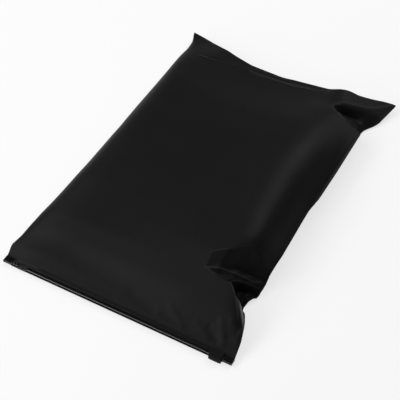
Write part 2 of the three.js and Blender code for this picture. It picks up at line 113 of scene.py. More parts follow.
# Where the right-hand climbs take over from the left, and where the ear and its corner end
RIGHTWARD_STEP = (-60, 160)
EAR_STEP = (68, 36)
CORNER_STEP = (24, 30)
# How much of its slope the right flank keeps where the filling sinks to the foot
FLANK_KEEPS = 0.4
RAMP_SOFTNESS = 0.2
# The flank is steeper beside the dart, by the distance from the zip
FLANK_STRETCH = [
    (0, 1), (95, 1), (132, 1.25), (168, 1.08), (228, 1), (290, 0.92), (343, 0.81), (400, 0.74), (456, 0.74),
]

# A wave in the foot seam beside the right corner
FOOT_WAVE = {"rise": 7, "setback": 67, "half": 22}

# The underside rolls in from the seams to the flat patch that the bag rests on
UNDER_ROLL = 38
UNDER_BULGE = 4
FLANK_BULGE = 0.5
FLANK_STEP = (95, 30)
BULGE_DRAW = 9
UNDER_FALL = 2
UNDER_FALL_AT_ZIP = 6
FALL_STEP = (15, 30)
UNDER_RINGS = 8

# Where the folds pull the right seam in: distance from the zip, depth, half length and the share below
SEAM_NOTCHES = [(81, 8, 16, 1.0), (396, 9, 28, 0.1)]

# Places of a fold: x and y on the plain film, the height there (None keeps the film's own) and a shift aside
# The dart beside the zip's right end: a steep face, a ledge, a second face, a furrow and a pit under its hem
NEAR_DART = {
    "crest_left": (73.5, -133, None), "crest_mid": (92, -119, None), "crest_right": (108.5, -102, None),
    "corner": (133.5, -107, None),
    "valley_a": (88.5, -136.5, 45), "valley_b": (100.5, -127, 31), "valley_c": (113, -121.5, 22.5),
    "valley_d": (125, -115, 16),
    "ridge_a": (75.5, -152, None), "ridge_b": (88, -144, 44.5), "ridge_c": (98.5, -135.5, 34),
    "ridge_d": (110.5, -129.5, 26), "ridge_e": (122.5, -124, 18.2), "ridge_f": (130.5, -117.5, 13.5),
    "ridge_out": (140, -112, 12),
    "furrow_a": (90, -151, 40.5), "furrow_b": (102.5, -149, 33),
    "lip_a": (91.8, -156.2, None), "lip_b": (104.9, -156.1, None), "apex": (110, -155.1, None),
    "hem_a": (108, -139, 27), "hem_b": (112.5, -133, 21), "hem_c": (121.5, -127.5, 14.5),
    "hem_d": (131, -124.5, 10.5), "hem_out": (140, -120, 9),
    "pit_a": (111, -146, 9, -5, 9), "pit_b": (120, -137, 5, -3, 6), "pit_out": (140, -129, 9),
    "pit_low": (123, -155, 4, -8, 3), "low_out": (141, -161, 7, -6, 0), "tuck": (146, -173, 9, -3, 0),
    "edge_a": (122, -166.5, None), "edge_b": (136, -179.4, 28), "edge_c": (144.6, -189.4, 19.5),
    "edge_d": (147.5, -199, 12.8),
    "strip_a": (119.6, -168.3, None), "strip_b": (131.5, -180.8, None), "strip_c": (138, -190, None),
    "strip_d": (142.5, -201, None), "fade": (149.5, -210, None),
}
NEAR_FACETS = [
    "crest_left crest_mid valley_a", "crest_mid valley_b valley_a", "crest_mid crest_right valley_b",
    "crest_right valley_c valley_b", "crest_right corner valley_c", "corner valley_d valley_c",
    "crest_left valley_a ridge_a", "valley_a ridge_b ridge_a", "valley_a valley_b ridge_b",
    "valley_b ridge_c ridge_b", "valley_b valley_c ridge_c", "valley_c ridge_d ridge_c",
    "valley_c valley_d ridge_d", "valley_d ridge_e ridge_d", "valley_d ridge_f ridge_e",
    "valley_d corner ridge_f", "corner ridge_out ridge_f",
    "ridge_a ridge_b furrow_a", "ridge_b ridge_c furrow_a", "ridge_c furrow_b furrow_a",
    "ridge_c hem_a furrow_b",
    "ridge_c ridge_d hem_a", "ridge_d hem_b hem_a", "ridge_d ridge_e hem_b", "ridge_e hem_c hem_b",
    "ridge_e ridge_f hem_c", "ridge_f hem_d hem_c", "ridge_f ridge_out hem_d", "ridge_out hem_out hem_d",
    "ridge_a furrow_a lip_a", "furrow_a lip_b lip_a", "furrow_a furrow_b lip_b", "furrow_b apex lip_b",
    "furrow_b pit_a apex", "hem_a pit_a furrow_b", "hem_a hem_b pit_a", "hem_b pit_b pit_a",
    "hem_b hem_c pit_b", "hem_c hem_d pit_b", "hem_d pit_out pit_b", "hem_d hem_out pit_out",
    "pit_a pit_b pit_low", "pit_b pit_out low_out", "pit_b low_out pit_low", "apex pit_a edge_a",
    "pit_a pit_low edge_a", "pit_low low_out edge_a", "edge_a low_out tuck", "edge_a tuck edge_b",
    "edge_b tuck edge_c",
    "apex edge_a strip_a", "edge_a strip_b strip_a", "edge_a edge_b strip_b", "edge_b strip_c strip_b",
    "edge_b edge_c strip_c", "edge_c strip_d strip_c", "edge_c edge_d strip_d", "edge_d fade strip_d",
    "tuck edge_d edge_c", "tuck fade edge_d",
]

# The ear at the foot's right end: a sheet that rolls down into a deep crease beside the filling
FAR_EAR = {
    "tip": (85, 169, None), "ridge_a": (92, 160, None), "ridge_b": (107, 151, None),
    "ridge_c": (127, 149, None),
    "core_a": (96, 172, 13), "core_b": (109.5, 178, 8), "core_c": (122, 177, 7.8), "core_d": (127.2, 160, 1),
    "foot_a": (96.5, 175, 15), "foot_b": (110.5, 180.5, 9.5), "foot_c": (124.5, 181.5, 7.8),
    "roll_a": (95, 178, 23), "roll_b": (110.8, 184.8, 17.5), "roll_c": (125.2, 191.3, 12.5),
    "brow_a": (90.6, 182.3, 27), "brow_b": (105.5, 190.7, 22.5), "brow_c": (121.6, 199.8, 17),
    "roll_d": (141, 199, 6), "out_a": (84, 222, None), "out_b": (108, 226, None), "out_c": (152, 234, None),
    "out_d": (154, 205, 8), "low_out": (136, 149, None), "rim_out": (139, 176, 2),
}
EAR_FACETS = [
    "tip foot_a core_a", "tip roll_a foot_a", "core_a foot_a foot_b", "core_a foot_b core_b",
    "core_b foot_b foot_c", "core_b foot_c core_c", "foot_a roll_a roll_b", "foot_a roll_b foot_b",
    "foot_b roll_b roll_c", "foot_b roll_c foot_c", "foot_c roll_c roll_d", "core_c foot_c roll_d",
    "tip brow_a roll_a", "brow_a brow_b roll_b", "brow_a roll_b roll_a", "brow_b brow_c roll_c",
    "brow_b roll_c roll_b", "brow_c roll_d roll_c", "tip out_a brow_a", "out_a out_b brow_b",
    "out_a brow_b brow_a", "out_b out_c brow_c", "out_b brow_c brow_b", "brow_c out_c roll_d",
    "roll_d out_c out_d", "tip core_a ridge_a",
    "ridge_a core_a core_b", "ridge_a core_b ridge_b", "ridge_b core_b core_c", "ridge_b core_c core_d",
    "ridge_b core_d ridge_c", "ridge_c core_d low_out", "core_c roll_d core_d", "core_d roll_d rim_out",
    "core_d rim_out low_out", "roll_d out_d rim_out",
]
# Each fold with the reach over which its creases are rounded
FOLDS = [(NEAR_DART, NEAR_FACETS, 1.3), (FAR_EAR, EAR_FACETS, 2.4)]
ROUNDING_STEP = 45
FOLD_FLOOR = 1.5
# Colour added along the creases: partly the lighter tone of stress-whitened film, partly a painted highlight
# along the fold edges
CREASE_WHITENING_AND_HIGHLIGHT = 0.02

# The long soft hollow between the closure and the filling
SAG = {"depth": 2, "half": 20, "from": (-95, -198), "to": (65, -194)}

# Wrinkles: where each starts and ends on the film, its half width and how far it stands up
WRINKLES = [
    ((112, -194), (140, -189), 6, 0.5), ((133, -215), (117, -190), 6, 0.5),
    ((128, -203), (147, -199), 5, -0.6), ((127, -214), (104, -198), 6.5, -0.6),
    ((52, -196), (84, -214), 6, 0.4), ((45, -208), (95, -211), 5, -0.35),
    ((0, -200), (48, -209), 9, -0.7), ((-147, -213), (-137, -209), 6, -1.2),
    ((88, -200), (116, -215), 5.5, 0.4), ((126, -190), (140, -181), 4.5, 0.5),
    ((-82, 181), (-25, 185), 3, 0.5), ((-32, 185), (22, 185), 3, 0.6), ((12, 185), (48, 191), 3, 0.6),
    ((-70, 187), (-20, 192), 2.6, 0.45), ((-30, 192), (14, 193.5), 2.6, 0.45),
    ((-106, 176), (-62, 187), 3.5, -0.9), ((-114, 173), (-82, 180), 3.5, 0.6),
    ((-62, 176), (-8, 179), 5, 0.35),
]
# How fast a wrinkle fades toward its ends, and the reach over which it fades at a seam
WRINKLE_FADE = 5
SEAM_FADE = 5
# Sharp creases, where the stretched film turns lighter and a painted highlight lightens it further: a fold's
# places, half width and strength
FOLD_CREASES = [
    (NEAR_DART, "ridge_a ridge_b ridge_c ridge_d ridge_e ridge_f", 1.6, 1.0),
    (NEAR_DART, "ridge_a lip_a lip_b apex", 1.2, 0.35),
    (NEAR_DART, "hem_a hem_b hem_c hem_d", 1.3, 0.8),
    (NEAR_DART, "apex edge_a edge_b edge_c edge_d", 1.9, 1.0),
    (NEAR_DART, "ridge_a crest_left crest_mid crest_right", 1.5, 0.35),
    (FAR_EAR, "tip ridge_a ridge_b ridge_c", 1.4, 0.6),
]
# Lines away from the folds, lightened like the creases: start, end, half width and strength. The three along
# the far edge follow its wrinkles, partly stress-whitened film and partly painted highlight; the last is a
# painted highlight only
EDGE_CREASES = [
    ((-40, 183.5), (17, 184), 1.6, 0.8), ((17, 184), (46, 190), 1.6, 0.9), ((46, 190), (67, 201), 1.6, 0.8),
    # Painted highlight along the film's lip at the zip's left end
    ((-134, -219), (-107, -219), 1.3, 1.2),
]
# The line where the film is welded to the flanges: distance from the zip, half width and depth
WELD_LINE = {"at": 10.8, "half": 1.7, "depth": 0.35}

# Zip sections: heights are over or under the plane where the strips meet
MEET_GAP = 0.15
WEB_FACE = 0.55
FUSED_FACE = 1.35
LOW_FACE = 2.35
HEAD_TOPS = {"open": 1.65, "flat": 1.3}
CRUSHED_TOP = 1.3

# Zip: depth of the heads, reach of the flanges, fused ends and the crushed places beside them
HEAD_DEPTH = 5
FLANGE_FROM = 5.2
FLANGE_END = FILM_START + FLANGE_REACH
FLANGE_HALF = 139.75
FLANGE_BEVEL = 0.08
STUB_END = 5.4
FUSED_FROM = 139
FUSED_END = 8.25
FUSED_RAMP = 0.4
CRUSH_RAMP = 0.25
CRUSHED_LEFT = [(136.8, 137.8, "mark"), (133.2, 134.2, "mark"), (118, 130, "rest")]
CRUSHED_RIGHT = [(118, 130, "flat")]
CRUSH_SLOPES = {"rest": 0.47, "mark": 0.62}
CRUSH_BACK = 4.5
CRUSHED_LOCK = [2.8, 2.7, 2.6, 2.5, 2.4, 2.3, 2.2, 2.1]
MOUTH_HALF = 139.9
MOUTH_LIP = 0.45
MOUTH_DEPTH = 12.6

# Grid of the top film: its lines stand closer where the folds are
GRID_COLUMNS = 190
GRID_ROWS = 320
COLUMN_PLACES = [(-1, -150), (-0.1, 40), (1, 150)]
ROW_PLACES = [(-1, -219.5), (-0.1, -85), (0.32, 125), (1, 228)]

# Angles, in degrees, past which an edge is shaded sharp
FILM_SHARP = 60
STRIP_SHARP = 40

# Studio: the floor's half size, its drop under the bag and its whiteness, and the soft boxes round the bag
FLOOR_HALF = 6
FLOOR_DROP = 0.0002
FLOOR_WHITENESS = 0.7
LAMP_DISTANCE = 2.4
LAMPS = [
    {"name": "back_box", "turn": 73, "rise": 42, "size": (1.6, 1.5), "radiance": 4.0},
    {"name": "left_box", "turn": 178, "rise": 42, "size": (1.5, 1.0), "radiance": 3.0},
    {"name": "front_box", "turn": 222, "rise": 36, "size": (1.5, 1.1), "radiance": 5.0},
    {"name": "low_box", "turn": 250, "rise": 15, "size": (1.2, 0.8), "radiance": 7.0},
    {"name": "top_box", "turn": 212, "rise": 70, "size": (1.0, 1.0), "radiance": 2.5},
]


def ease(value):
    share = np.clip(value, 0, 1)
    return share * share * (3 - 2 * share)


def past(value, step):
    """How far a value is through a step, which has a start and a run."""
    start, run = step
    return ease((value - start) / run)


def mix(start, end, share):
    return start + (end - start) * share


def from_zip(y):
    return y + HALF_LENGTH


def from_foot(y):
    return HALF_LENGTH - y


def notch_depth(y, below=False):
    """How far the folds pull the right seam in, or how far the underside stays out there."""
    total = 0 * y
    for place, depth, half, share in SEAM_NOTCHES:
        size = depth * share if below else depth
        total = total + size * ease(1 - np.abs(from_zip(y) - place) / half)
    return total


def fill_edge(y):
    """The right side of the filling."""
    return HALF_WIDTH - soft_interp(from_zip(y), FILL_DRAW, DRAW_SOFTNESS)


def right_edge(y):
    return HALF_WIDTH - soft_interp(from_zip(y), RIGHT_DRAW, DRAW_SOFTNESS) - notch_depth(y)


def left_edge(y):
    return soft_interp(from_zip(y), LEFT_DRAW, DRAW_SOFTNESS) - HALF_WIDTH


def foot_edge(x):
    return HALF_LENGTH - soft_interp(x + HALF_WIDTH, FOOT_DRAW, DRAW_SOFTNESS)


def plan_point(x, y):
    """Where a point of the flat film lies in plan once the bag is filled."""
    start = FILM_START - HALF_LENGTH
    plan_y = mix(start, foot_edge(x), (y - start) / (HALF_LENGTH - start))
    across = (x + HALF_WIDTH) / BAG_WIDTH
    return mix(left_edge(plan_y), right_edge(plan_y), across), plan_y


def seam_height(x, y):
    past_lip = np.maximum(from_zip(y) - FILM_START, 0)
    leftness = ease(-x / HALF_WIDTH)
    away_from_zip = ease(past_lip / mix(RIGHT_ZIP_EAR, LEFT_ZIP_EAR, leftness))
    away_from_foot = ease(from_foot(y) / FOOT_EAR)
    off_wave = (x - HALF_WIDTH + FOOT_WAVE["setback"]) / FOOT_WAVE["half"]
    wave = FOOT_WAVE["rise"] * ease(1 - np.abs(off_wave)) * (1 - away_from_foot)
    middle = FOOT_MIDDLE_RISE * past(HALF_WIDTH - np.abs(x), FOOT_MIDDLE_STEP)
    far_part = mix(FOOT_SEAM_HEIGHT + middle + wave, SIDE_SEAM_HEIGHT, away_from_foot)
    lift = past(x, LIFT_FROM_MIDDLE) * past(from_zip(y), LIFT_FROM_ZIP) * past(from_foot(y), LIFT_FROM_FOOT)
    return mix(CLOSURE_HEIGHT, far_part, away_from_zip) + RIGHT_SEAM_RISE * lift


def rim_height(y):
    return mix(LIP_HEIGHT, SEAM_THICKNESS / 2, ease((from_zip(y) - FILM_START) / FLANGE_REACH))


def shoulder(distance, climb):
    width, squareness = climb
    left = 1 - np.clip(distance / width, 0, 1)
    return np.maximum(0, 1 - left**squareness) ** (1 / squareness)


def soft_interp(value, bends, softness):
    """Straight runs between the bends, with every bend rounded over the given reach."""
    places, levels = zip(*bends)
    offsets = np.linspace(-softness, softness, SOFT_SAMPLES)
    soft = np.mean([np.interp(value + offset, places, levels) for offset in offsets], axis=0)
    lead = np.clip(value / softness, 0, 1)
    return mix(np.interp(value, places, levels), soft, lead)


def fill_share(x, y):
    """Share of the full climb at a place; the filling reaches further out on the right."""
    rightness = past(x, RIGHTWARD_STEP)
    in_ear = 1 - past(from_zip(y), EAR_STEP)
    past_lip = np.maximum(from_zip(y) - FILM_START, 0)
    from_seam = np.maximum(foot_edge(x) - y, 0)
    flank = np.maximum(fill_edge(y) - x - FIN_WIDTH, 0)
    left = shoulder(x - left_edge(y) - FIN_WIDTH, LEFT_SHOULDER)
    stretched = flank * soft_interp(from_zip(y), FLANK_STRETCH, STRETCH_SOFTNESS)
    in_corner = 1 - past(from_zip(y), CORNER_STEP)
    ear = mix(soft_interp(flank, EAR_CLIMB, EAR_SOFTNESS), 1, in_corner)
    right = mix(soft_interp(stretched, RIGHT_CLIMB, RIGHT_SOFTNESS), ear, in_ear)
    zip_left = soft_interp(past_lip, ZIP_CLIMB, ZIP_SOFTNESS)
    zip_right = soft_interp(past_lip, ZIP_CLIMB_RIGHT, ZIP_SOFTNESS)
    zip_climb = mix(zip_left, zip_right, rightness)
    foot_left = soft_interp(from_seam, FOOT_CLIMB, FOOT_SOFTNESS)
    foot_right = soft_interp(from_seam, FOOT_CLIMB_RIGHT, FOOT_SOFTNESS)
    foot_climb = mix(foot_left, foot_right, rightness)
    far_corner = mix(right * foot_climb, kept_slope(right, foot_climb), FLANK_KEEPS)
    return left * zip_climb * far_corner


def soft_ramp(value):
    return RAMP_SOFTNESS * np.log1p(np.exp(value / RAMP_SOFTNESS))


def kept_slope(right, foot):
    """The right climb lowered to the foot's level with its upper slope kept."""
    start = soft_ramp(foot - 1)
    return foot * (soft_ramp(right + foot - 1) - start) / (soft_ramp(foot) - start)


def facet_shift(x, y, corners):
    """Which places lie in a triangle, and the shift there, spread evenly between its corners."""
    (ax, ay, a_shift), (bx, by, b_shift), (cx, cy, c_shift) = corners
    area = (bx - ax) * (cy - ay) - (cx - ax) * (by - ay)
    b_share = ((x - ax) * (cy - ay) - (cx - ax) * (y - ay)) / area
    c_share = ((bx - ax) * (y - ay) - (x - ax) * (by - ay)) / area
    a_share = 1 - b_share - c_share
    inside = np.minimum(np.minimum(a_share, b_share), c_share) >= 0
    return inside, np.outer(a_shift, a_share) + np.outer(b_shift, b_share) + np.outer(c_shift, c_share)


def place_shift(place):
    x, y, height = place[:3]
    aside = place[3:] or (0, 0)
    rise = 0 if height is None else height - plain_height(x, y)
    return x, y, (*aside, rise)


def sharp_shift(x, y, places, facets):
    """How far a fold moves the film along x, y and z, with sharp creases."""
    shift = np.zeros((3, len(x)))
    corners = {name: place_shift(place) for name, place in places.items()}
    for facet in facets:
        inside, value = facet_shift(x, y, [corners[name] for name in facet.split()])
        shift = np.where(inside, value, shift)
    return shift


def fold_shift(x, y):
    """All the folds, with their creases rounded."""
    turns = np.radians(np.arange(0, 360, ROUNDING_STEP))
    total = np.zeros((3, len(x)))
    for places, facets, softness in FOLDS:
        rounded = sharp_shift(x, y, places, facets)
        for turn in turns:
            near_x = x + softness * np.cos(turn)
            near_y = y + softness * np.sin(turn)
            rounded = rounded + sharp_shift(near_x, near_y, places, facets)
        total = total + rounded / (1 + len(turns))
    return total


def folded(plain, rise, floor):
    """A plain height moved by a fold, which stops short of the floor."""
    return np.maximum(plain + rise, np.minimum(plain, floor))


def sag_depth(x, y):
    run = np.subtract(SAG["to"], SAG["from"])
    off_x = x - SAG["from"][0]
    off_y = y - SAG["from"][1]
    along = np.clip((off_x * run[0] + off_y * run[1]) / (run @ run), 0, 1)
    distance = np.hypot(off_x - run[0] * along, off_y - run[1] * along)
    return SAG["depth"] * ease(1 - distance / SAG["half"]) * np.sin(np.pi * along)


def fin_droop(x, y):
    inward = np.minimum(right_edge(y) - x, x - left_edge(y))
    away = ease((from_zip(y) - FLANGE_REACH) / FIN_RUN) * ease(from_foot(y) / FIN_RUN)
    return FIN_DROOP * np.clip(1 - inward / FIN_WIDTH, 0, 1) * away


def plain_height(x, y):
    edge = seam_height(x, y) + rim_height(y)
    climb = (FILL_HEIGHT - edge) * fill_share(x, y)
    return edge - fin_droop(x, y) + np.maximum(0, climb - sag_depth(x, y))


def stroke_share(x, y, start, end, half):
    """How near a place is to a stroke, from 1 on it to 0 at its half width, and how far along it."""
    run_x = end[0] - start[0]
    run_y = end[1] - start[1]
    along = ((x - start[0]) * run_x + (y - start[1]) * run_y) / (run_x**2 + run_y**2)
    held = np.clip(along, 0, 1)
    distance = np.hypot(x - start[0] - run_x * held, y - start[1] - run_y * held)
    return ease(1 - distance / half), held


def wrinkle_rise(x, y):
    """The wrinkles, faded out at their ends and at the seams."""
    total = 0 * x
    for start, end, half, rise in WRINKLES:
        share, along = stroke_share(x, y, start, end, half)
        total = total + rise * share * ease(WRINKLE_FADE * along) * ease(WRINKLE_FADE * (1 - along))
    inward = np.minimum(np.minimum(right_edge(y) - x, x - left_edge(y)), foot_edge(x) - y)
    weld = WELD_LINE["depth"] * ease(1 - np.abs(from_zip(y) - WELD_LINE["at"]) / WELD_LINE["half"])
    return (total - weld) * ease(inward / SEAM_FADE)


def whitening_and_highlight_share(x, y):
    """How much lighter the film is painted at a place along the creases: stress-whitening and a painted
    highlight.
    """
    strokes = list(EDGE_CREASES)
    for places, names, half, strength in FOLD_CREASES:
        line = [places[name][:2] for name in names.split()]
        strokes += [(start, end, half, strength) for start, end in zip(line, line[1:])]
    share = 0 * x
    for start, end, half, strength in strokes:
        share = np.maximum(share, strength * stroke_share(x, y, start, end, half)[0])
    return share


def top_place(x, y):
    """A point of the top film, folds, wrinkles and all."""
    shift = fold_shift(x, y)
    z = folded(plain_height(x, y), shift[2], FOLD_FLOOR + 2 * rim_height(y)) + wrinkle_rise(x, y)
    return np.stack([x + shift[0], y + shift[1], z], 1)


def flat_places(bm):
    """The flat film's own x and y of every vertex, in millimetres."""
    layers = bm.verts.layers.float
    across = layers["flat_x"]
    along = layers["flat_y"]
    return np.array([(v[across], v[along]) for v in bm.verts]).T


def lay_top(bm):
    across = bm.verts.layers.float["flat_x"]
    along = bm.verts.layers.float["flat_y"]
    for vertex in bm.verts:
        vertex[across] = np.interp(vertex.co.x, *zip(*COLUMN_PLACES))
        vertex[along] = np.interp(vertex.co.y, *zip(*ROW_PLACES))
    # The crease layer holds where the film is painted lighter: stress-whitened film and a painted highlight
    # on the fold edges
    crease = bm.verts.layers.float["crease"]
    flat_x, flat_y = flat_places(bm)
    x, y = plan_point(flat_x, flat_y)
    for vertex, place, whitening_and_highlight in zip(bm.verts, top_place(x, y), whitening_and_highlight_share(x, y)):
        vertex.co = Vector(place) * MM
        vertex[crease] = whitening_and_highlight


def under_place(flat_x, flat_y, share):
    """A point of the underside, the given share of the way from the seam to the flat patch."""
    start = FILM_START - HALF_LENGTH
    middle = (start + HALF_LENGTH) / 2
    half_depth = HALF_LENGTH - middle
    in_x = 1 - share * UNDER_ROLL / HALF_WIDTH
    in_y = 1 - share * UNDER_ROLL / half_depth
    x, y = plan_point(flat_x * in_x, middle + (flat_y - middle) * in_y)
    rim_x, rim_y = plan_point(flat_x, flat_y)
    side = np.where(np.abs(flat_x) > HALF_WIDTH - CLOSE, np.sign(flat_x), 0)
    beside_flank = np.where(side > 0, past(from_zip(rim_y), FLANK_STEP), 0)
    size = mix(UNDER_BULGE, FLANK_BULGE, beside_flank)
    drawn = np.clip((HALF_WIDTH - np.abs(rim_x)) / BULGE_DRAW, 0, 1) * size
    notch = np.where(side > 0, notch_depth(rim_y, True), 0) * np.minimum(share * UNDER_RINGS, 1) * (1 - share)
    bulge = side * drawn * np.sin(np.pi * np.sqrt(share)) + notch
    rim_plain = plain_height(rim_x, rim_y) - 2 * rim_height(rim_y)
    shift = fold_shift(rim_x, rim_y)
    rim_z = folded(rim_plain, shift[2], FOLD_FLOOR)
    fall = mix(UNDER_FALL_AT_ZIP, UNDER_FALL, past(from_zip(rim_y), FALL_STEP))
    z = rim_z * (1 - share) ** fall
    return x + bulge + shift[0] * (1 - share), y + shift[1] * (1 - share), z


def lay_underside(bm):
    across = bm.verts.layers.float["flat_x"]
    along = bm.verts.layers.float["flat_y"]
    rim = [edge for edge in bm.edges if edge.is_boundary]
    walls = []
    for ring in range(UNDER_RINGS + 1):
        grown = bmesh.ops.extrude_edge_only(bm, edges=rim)["geom"]
        walls = walls or [item for item in grown if isinstance(item, bmesh.types.BMFace)]
        points = [item for item in grown if isinstance(item, bmesh.types.BMVert)]
        flat = np.array([(point[across], point[along]) for point in points]).T
        x, y, z = under_place(flat[0], flat[1], ring / UNDER_RINGS)
        for point, place in zip(points, np.stack([x, y, z], 1)):
            point.co = Vector(place) * MM
        rim = [item for item in grown if isinstance(item, bmesh.types.BMEdge) and item.is_boundary]
    bmesh.ops.contextual_create(bm, geom=rim)
    return walls


def open_mouth(bm, walls):
    """Opens a slot in the wall beside the zip, between the film's lips, for the flanges."""
    across = bm.verts.layers.float["flat_x"]
    along = bm.verts.layers.float["flat_y"]
    start = FILM_START - HALF_LENGTH
    mouth = []
    for wall in walls:
        at_zip = all(abs(corner[along] - start) < CLOSE for corner in wall.verts)
        if at_zip and all(abs(corner[across]) < MOUTH_HALF for corner in wall.verts):
            mouth.append(wall)
    bmesh.ops.inset_region(bm, faces=mouth, thickness=MOUTH_LIP * MM, use_even_offset=True)
    sides = dict.fromkeys(edge for face in mouth for edge in face.edges)
    grown = bmesh.ops.extrude_face_region(bm, geom=[*mouth, *sides])["geom"]
    inner = [item for item in grown if isinstance(item, bmesh.types.BMVert)]
    bmesh.ops.translate(bm, verts=inner, vec=(0, MOUTH_DEPTH * MM, 0))


def settle_order(bm):
    """Puts points, edges and faces into an order that is the same each run, by their places."""
    points = sorted(bm.verts, key=lambda vertex: tuple(vertex.co))
    lines = sorted(bm.edges, key=lambda edge: tuple(edge.verts[0].co + edge.verts[1].co))
    faces = sorted(bm.faces, key=lambda face: tuple(face.calc_center_median()))
    for items in (points, lines, faces):
        for index, item in enumerate(items):
            item.index = index
    bm.verts.sort()
    bm.edges.sort()
    bm.faces.sort()


def new_piece(name, bm):
    settle_order(bm)
    mesh = bpy.data.meshes.new(name)
    bm.to_mesh(mesh)
    bm.free()
    piece = bpy.data.objects.new(name, mesh)
    bpy.context.scene.collection.objects.link(piece)
    return piece


def shade(bm, crease_angle):
    limit = math.radians(crease_angle)
    for face in bm.faces:
        face.smooth = True
    for edge in bm.edges:
        edge.smooth = len(edge.link_faces) == 2 and edge.calc_face_angle() < limit


def bag_film():
    bm = bmesh.new()
    bm.verts.layers.float.new("flat_x")
    bm.verts.layers.float.new("flat_y")
    bm.verts.layers.float.new("crease")
    bmesh.ops.create_grid(bm, x_segments=GRID_COLUMNS, y_segments=GRID_ROWS, size=1)
    lay_top(bm)
    open_mouth(bm, lay_underside(bm))
    bmesh.ops.recalc_face_normals(bm, faces=bm.faces)
    shade(bm, FILM_SHARP)
    return new_piece("bag_film", bm)


def slope_line(points, slope, level):
    """Points of a section put onto a slope that falls to the zip's outer edge."""
    return [(u, level - slope * (CRUSH_BACK - u)) for u in points]


def upper_section(state):
    """Outline of the upper strip: distances in from the zip's edge, and heights."""
    stub = [(HEAD_DEPTH, WEB_FACE), (STUB_END, WEB_FACE), (STUB_END, MEET_GAP)]
    if state == "fused":
        front = [(0, 0.55), (0.04, 0.95), (0.15, 1.2), (0.35, 1.32), (0.6, FUSED_FACE)]
        end = [(u, FUSED_FACE) for u in (4.4, 4.7, 4.95, 5.2, FUSED_END)] + [(FUSED_END, MEET_GAP)]
        return front + end + [(u, MEET_GAP) for u in [*CRUSHED_LOCK, 0.35]]
    if state in HEAD_TOPS:
        top = HEAD_TOPS[state]
        turns = np.radians([180, 157.5, 135, 112.5, 90])
        front = [(1.8 + math.cos(turn), top - 1 + math.sin(turn)) for turn in turns]
        back = [(4.4, top), (4.82, top - 0.18), (4.99, top - 0.6)]
        rib = [(2.7, MEET_GAP), (2.7, -0.8), (2.95, -0.8), (2.55, -1.35)]
        rib += [(2.25, -1.35), (1.85, -0.8), (2.1, -0.8), (2.1, MEET_GAP)]
        return front + back + stub + rib + [(1, MEET_GAP)]
    slope = CRUSH_SLOPES[state]
    front = slope_line([0, 0.06, 0.2, 0.42, 0.75], slope, CRUSHED_TOP)
    front[0] = (0, front[0][1] - 0.3)
    front[1] = (0.06, front[1][1] - 0.14)
    back = slope_line([CRUSH_BACK], slope, CRUSHED_TOP) + [(4.85, 1.2), (4.99, 0.95)]
    under = slope_line([*CRUSHED_LOCK, 0.35], slope, WEB_FACE)
    return front + back + stub + [(u, min(z, MEET_GAP)) for u, z in under]


def lower_section(state):
    """Outline of the lower strip, in the same terms."""
    stub = [(HEAD_DEPTH, -WEB_FACE), (STUB_END, -WEB_FACE), (STUB_END, -MEET_GAP)]
    back = [(4.4, -LOW_FACE), (4.99, -1.75)]
    if state == "fused":
        front = [(0.35, -MEET_GAP), (0, -0.5), (0, -1), (0.35, -FUSED_FACE)]
        end = [(u, -FUSED_FACE) for u in (4.4, 4.95, 5.2, FUSED_END)] + [(FUSED_END, -MEET_GAP)]
        return front + end + [(u, -MEET_GAP) for u in CRUSHED_LOCK]
    if state in HEAD_TOPS:
        front = [(0.35, -MEET_GAP), (0, -0.5), (0, -1.75), (0.6, -LOW_FACE)]
        groove = [(2.95, -MEET_GAP), (2.95, -0.35), (3.2, -0.6), (3.2, -1.65)]
        groove += [(1.6, -1.65), (1.6, -0.6), (1.85, -0.35), (1.85, -MEET_GAP)]
        return front + back + stub + groove
    slope = CRUSH_SLOPES[state]
    brim = max(slope_line([0.35], slope, 0.2)[0][1], -2.1)
    front = [(0.35, brim), (0, max(brim - 0.25, -2.15)), (0, -2.2), (0.3, -LOW_FACE)]
    under = slope_line(CRUSHED_LOCK, slope, 0.2)
    return front + back + stub + [(u, min(z, -MEET_GAP)) for u, z in under]


def strip_stations():
    """Places along the zip and the state of the strips there, from the left end to the right end."""
    halves = []
    for crushed in (CRUSHED_LEFT, CRUSHED_RIGHT):
        half = [(HALF_WIDTH, "fused"), (FUSED_FROM, "fused"), (FUSED_FROM - FUSED_RAMP, "open")]
        for near, far, state in crushed:
            half += [(far + CRUSH_RAMP, "open"), (far - CRUSH_RAMP, state)]
            half += [(near + CRUSH_RAMP, state), (near - CRUSH_RAMP, "open")]
        halves.append(half)
    return [(-x, state) for x, state in halves[0]] + [(x, state) for x, state in reversed(halves[1])]


def zip_strip(name, section):
    """A strip drawn along the zip from section to section."""
    bm = bmesh.new()
    stations = strip_stations()
    x, state = stations[0]
    outline = [bm.verts.new(zip_place(x, u, z)) for u, z in section(state)]
    cap = bmesh.ops.contextual_create(bm, geom=outline)["faces"][0]
    order = [outline.index(corner) for corner in cap.verts]
    for x, state in stations[1:]:
        grown = bmesh.ops.extrude_face_region(bm, geom=[cap, *cap.edges])["geom"]
        cap = next(item for item in grown if isinstance(item, bmesh.types.BMFace))
        places = section(state)
        for corner, index in zip(cap.verts, order):
            corner.co = zip_place(x, *places[index])
    bmesh.ops.recalc_face_normals(bm, faces=bm.faces)
    shade(bm, STRIP_SHARP)
    for edge in bm.edges:
        start, end = edge.verts
        edge.smooth = edge.smooth and abs(start.co.x - end.co.x) > CLOSE * MM
    return new_piece(name, bm)


